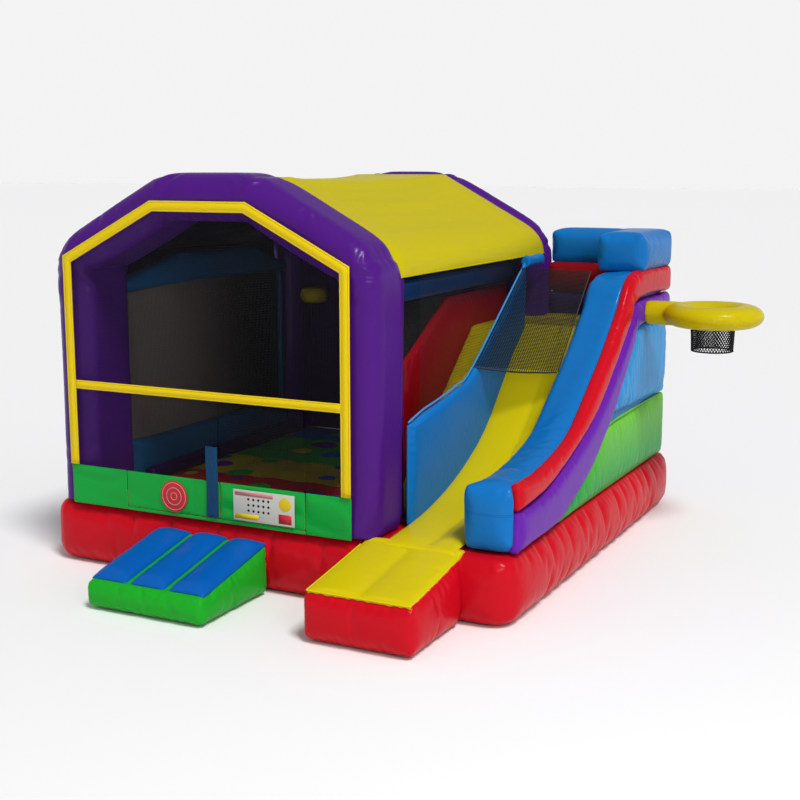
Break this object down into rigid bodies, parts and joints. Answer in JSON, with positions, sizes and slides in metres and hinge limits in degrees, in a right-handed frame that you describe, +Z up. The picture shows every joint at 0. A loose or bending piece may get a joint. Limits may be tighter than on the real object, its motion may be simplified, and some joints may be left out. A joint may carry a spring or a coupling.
{
  "type": "inflatable bounce house",
  "caption": "Inflatable bounce house with arched roof, net windows, zip door, entry ramp, climbing lane and side slide with exit pad.",
  "frame": {"origin": "bottom centre of the whole object's box, on the ground", "axes": "+Z up; +Y from the entrance front towards the back; +X right along the front, towards the slide"},
  "size_m": [6.3282, 6.71, 3.9],
  "materials": {
    "red_vinyl": "semi-gloss red PVC-coated fabric",
    "purple_vinyl": "semi-gloss purple PVC-coated fabric",
    "yellow_vinyl": "semi-gloss yellow PVC-coated fabric",
    "blue_vinyl": "semi-gloss blue PVC-coated fabric",
    "green_vinyl": "semi-gloss green PVC-coated fabric",
    "black_net": "matt black knotted safety netting",
    "printed_floor": "semi-gloss PVC-coated fabric, printed in colour bands",
    "webbing": "matt black nylon webbing",
    "zip_metal": "bright metal",
    "ring_steel": "galvanised steel"
  },
  "bodies": {
    "house": {"anchor_tab_1": "webbing", "anchor_tab_2": "webbing", "anchor_tab_3": "webbing", "anchor_tab_4": "webbing", "bounce_floor": "printed_floor", "canopy_net": "black_net", "climb_ramp": "yellow_vinyl", "climb_wall": "red_vinyl", "exit_pad": "red_vinyl", "front_column_left": "purple_vinyl", "front_column_right": "purple_vinyl", "front_net": "black_net", "front_rafter_left": "purple_vinyl", "front_rafter_right": "purple_vinyl", "front_ridge": "purple_vinyl", "front_sill": "green_vinyl", "hoop": "yellow_vinyl", "hoop_net": "black_net", "house_base": "red_vinyl", "left_beam": "blue_vinyl", "left_net": "black_net", "left_panel": "blue_vinyl", "mid_beam": "blue_vinyl", "mid_net": "black_net", "platform_deck": "yellow_vinyl", "rear_column_left": "purple_vinyl", "rear_column_right": "purple_vinyl", "rear_rafter_left": "purple_vinyl", "rear_rafter_right": "purple_vinyl", "rear_ridge": "purple_vinyl", "rear_wall": "purple_vinyl", "roof_sheet": "yellow_vinyl", "side_band_purple": "purple_vinyl", "side_band_red": "red_vinyl", "side_net": "black_net", "side_panel_blue": "blue_vinyl", "side_panel_green": "green_vinyl", "slide_bed": "yellow_vinyl", "slide_divider": "blue_vinyl", "slide_outer_wall": "blue_vinyl", "small_hoop": "yellow_vinyl", "tower_rail_rear": "blue_vinyl", "tower_rail_side": "blue_vinyl", "tower_rear_wall": "purple_vinyl", "window_frame": "yellow_vinyl"},
    "door_left": {"door_flap_left": "green_vinyl", "door_net_left": "black_net"},
    "door_right": {"door_flap_right": "green_vinyl", "door_net_right": "black_net"},
    "zip_cover": {"zip_cover": "blue_vinyl"},
    "zip_slider": {"zip_slider": "zip_metal"},
    "ramp": {"ramp_body": "green_vinyl", "ramp_tread_left": "blue_vinyl", "ramp_tread_middle": "blue_vinyl", "ramp_tread_right": "blue_vinyl"},
    "sleeve": {"inflation_sleeve": "red_vinyl"},
    "ring_1": {"anchor_ring_1": "ring_steel"},
    "ring_2": {"anchor_ring_2": "ring_steel"},
    "ring_3": {"anchor_ring_3": "ring_steel"},
    "ring_4": {"anchor_ring_4": "ring_steel"}
  },
  "joints": [
    {"name": "door_left_hinge", "type": "hinge", "parent": "house", "child": "door_left", "pos_m": [-2.1559, -2.267, 1.2], "axis": [0, 0, -1], "range_deg": [0, 100]},
    {"name": "door_right_hinge", "type": "hinge", "parent": "house", "child": "door_right", "pos_m": [-0.1159, -2.267, 1.2], "axis": [0, 0, 1], "range_deg": [0, 100]},
    {"name": "zip_cover_fold", "type": "hinge", "parent": "door_left", "child": "zip_cover", "pos_m": [-1.2019, -2.2735, 1.025], "axis": [0, 0, -1], "range_deg": [0, 165]},
    {"name": "zip_slide", "type": "slide", "parent": "door_left", "child": "zip_slider", "axis": [0, 0, 1], "range_m": [0, 1.05]},
    {"name": "ramp_fold", "type": "hinge", "parent": "house", "child": "ramp", "pos_m": [-1.1659, -2.248, 0.545], "axis": [-1, 0, 0], "range_deg": [0, 60]},
    {"name": "sleeve_fold", "type": "hinge", "parent": "house", "child": "sleeve", "pos_m": [-0.2359, 2.8753, 0.298], "axis": [1, 0, 0], "range_deg": [0, 75]},
    {"name": "ring_1_swing", "type": "hinge", "parent": "house", "child": "ring_1", "pos_m": [-3.1502, -1.245, 0.26], "axis": [0, 1, 0], "range_deg": [0, 150]},
    {"name": "ring_2_swing", "type": "hinge", "parent": "house", "child": "ring_2", "pos_m": [-3.1502, 2.055, 0.26], "axis": [0, 1, 0], "range_deg": [0, 150]},
    {"name": "ring_3_swing", "type": "hinge", "parent": "house", "child": "ring_3", "pos_m": [-2.1359, 2.8893, 0.26], "axis": [1, 0, 0], "range_deg": [0, 150]},
    {"name": "ring_4_swing", "type": "hinge", "parent": "house", "child": "ring_4", "pos_m": [1.1641, 2.8893, 0.26], "axis": [1, 0, 0], "range_deg": [0, 150]}
  ]
}
